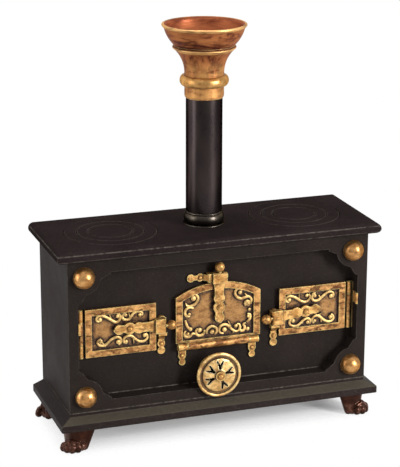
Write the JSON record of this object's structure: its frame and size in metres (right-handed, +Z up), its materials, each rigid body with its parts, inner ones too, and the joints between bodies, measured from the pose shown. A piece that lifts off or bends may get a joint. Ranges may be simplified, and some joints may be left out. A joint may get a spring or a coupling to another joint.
{
  "type": "cook stove",
  "caption": "Miniature box-shaped cast cook stove on paw feet, with hinged scrollwork doors, latches, draft wheel, lift-off hobs and flared chimney.",
  "frame": {"origin": "on the floor plane under the middle of the overall outline, at the soles of the feet", "axes": "+Z up, +X to the viewer's right when facing the doors, the doors face -Y"},
  "size_m": [0.2146, 0.0789, 0.2605],
  "materials": {
    "black_paint": "satin brown-black enamel over cast plates, slightly worn at the edges",
    "base_paint": "satin brown-black enamel that shines grey on the bevel",
    "antique_gold": "antique gold with dark brown patina in the recesses",
    "aged_bronze": "aged bronze gold, polished high spots",
    "copper_pot": "dark copper with gold brushed edges",
    "paw_bronze": "dark copper-brown paint with pinkish worn high spots",
    "hob_iron": "satin black hob iron",
    "pipe_paint": "semi-gloss brown-black paint",
    "hidden_iron": "dull dark iron"
  },
  "bodies": {
    "stove": {"base_plinth": "base_paint", "foot_front_left": "paw_bronze", "foot_front_right": "paw_bronze", "foot_back_left": "paw_bronze", "foot_back_right": "paw_bronze", "side_panel_left": "black_paint", "side_panel_right": "black_paint", "back_panel": "black_paint", "front_frame": "black_paint", "front_panel": "black_paint", "partition_left": "hidden_iron", "partition_right": "hidden_iron", "fire_grate": "hidden_iron", "top_plate": "black_paint", "dome_bolts": "aged_bronze", "dome_nuts": "hidden_iron", "flue_collar": "pipe_paint", "flue_pipe": "pipe_paint", "chimney_pot": "copper_pot", "chimney_band": "aged_bronze", "hinge_left": "antique_gold", "hinge_right": "antique_gold", "hinge_pin_left": "antique_gold", "hinge_pin_right": "antique_gold", "arch_hinge_left": "antique_gold", "arch_hinge_right": "antique_gold", "arch_hinge_pins": "antique_gold", "arch_hinge_rivets": "antique_gold", "keeper_left": "antique_gold", "keeper_right": "antique_gold", "keeper_centre": "antique_gold", "keeper_rivets": "antique_gold", "draft_port": "hidden_iron", "wheel_pin": "antique_gold"},
    "door_left": {"door_left": "antique_gold", "scrollwork_left": "antique_gold", "latch_rivet_left": "antique_gold"},
    "door_right": {"door_right": "antique_gold", "scrollwork_right": "antique_gold", "latch_rivet_right": "antique_gold"},
    "door_centre": {"door_centre": "antique_gold", "scrollwork_centre": "antique_gold", "latch_rivet_centre": "antique_gold"},
    "latch_left": {"latch_left": "antique_gold", "latch_ball_left": "antique_gold"},
    "latch_right": {"latch_right": "antique_gold", "latch_ball_right": "antique_gold"},
    "latch_centre": {"latch_centre": "antique_gold", "latch_ball_centre": "antique_gold"},
    "draft_wheel": {"draft_wheel": "antique_gold"},
    "hob_ring_left": {"hob_ring_left": "hob_iron"},
    "hob_ring_right": {"hob_ring_right": "hob_iron"},
    "hob_lid_left": {"hob_lid_left": "hob_iron"},
    "hob_lid_right": {"hob_lid_right": "hob_iron"}
  },
  "joints": [
    {"name": "door_left_hinge", "type": "hinge", "parent": "stove", "child": "door_left", "pos_m": [-0.0904, -0.02413, 0.0753], "axis": [0, 0, -1], "range_deg": [0, 90]},
    {"name": "door_right_hinge", "type": "hinge", "parent": "stove", "child": "door_right", "pos_m": [0.0904, -0.02413, 0.0753], "axis": [0, 0, 1], "range_deg": [0, 90]},
    {"name": "door_centre_hinge", "type": "hinge", "parent": "stove", "child": "door_centre", "pos_m": [0, -0.02502, 0.0595], "axis": [1, 0, 0], "range_deg": [0, 90]},
    {"name": "latch_left_pivot", "type": "hinge", "parent": "door_left", "child": "latch_left", "pos_m": [-0.0593, -0.02643, 0.0766], "axis": [0, -1, 0], "range_deg": [0, 40]},
    {"name": "latch_right_pivot", "type": "hinge", "parent": "door_right", "child": "latch_right", "pos_m": [0.0593, -0.02643, 0.0746], "axis": [0, 1, 0], "range_deg": [0, 40]},
    {"name": "latch_centre_pivot", "type": "hinge", "parent": "door_centre", "child": "latch_centre", "pos_m": [0, -0.02643, 0.0839], "axis": [0, 1, 0], "range_deg": [0, 40]},
    {"name": "draft_wheel_spin", "type": "hinge", "parent": "stove", "child": "draft_wheel", "pos_m": [-0.0025, -0.03472, 0.0413], "axis": [0, 1, 0], "continuous": true},
    {"name": "hob_ring_left_lift", "type": "slide", "parent": "stove", "child": "hob_ring_left", "axis": [0, 0, 1], "range_m": [0, 0.02]},
    {"name": "hob_lid_left_lift", "type": "slide", "parent": "hob_ring_left", "child": "hob_lid_left", "axis": [0, 0, 1], "range_m": [0, 0.02]},
    {"name": "hob_ring_right_lift", "type": "slide", "parent": "stove", "child": "hob_ring_right", "axis": [0, 0, 1], "range_m": [0, 0.02]},
    {"name": "hob_lid_right_lift", "type": "slide", "parent": "hob_ring_right", "child": "hob_lid_right", "axis": [0, 0, 1], "range_m": [0, 0.02]}
  ]
}
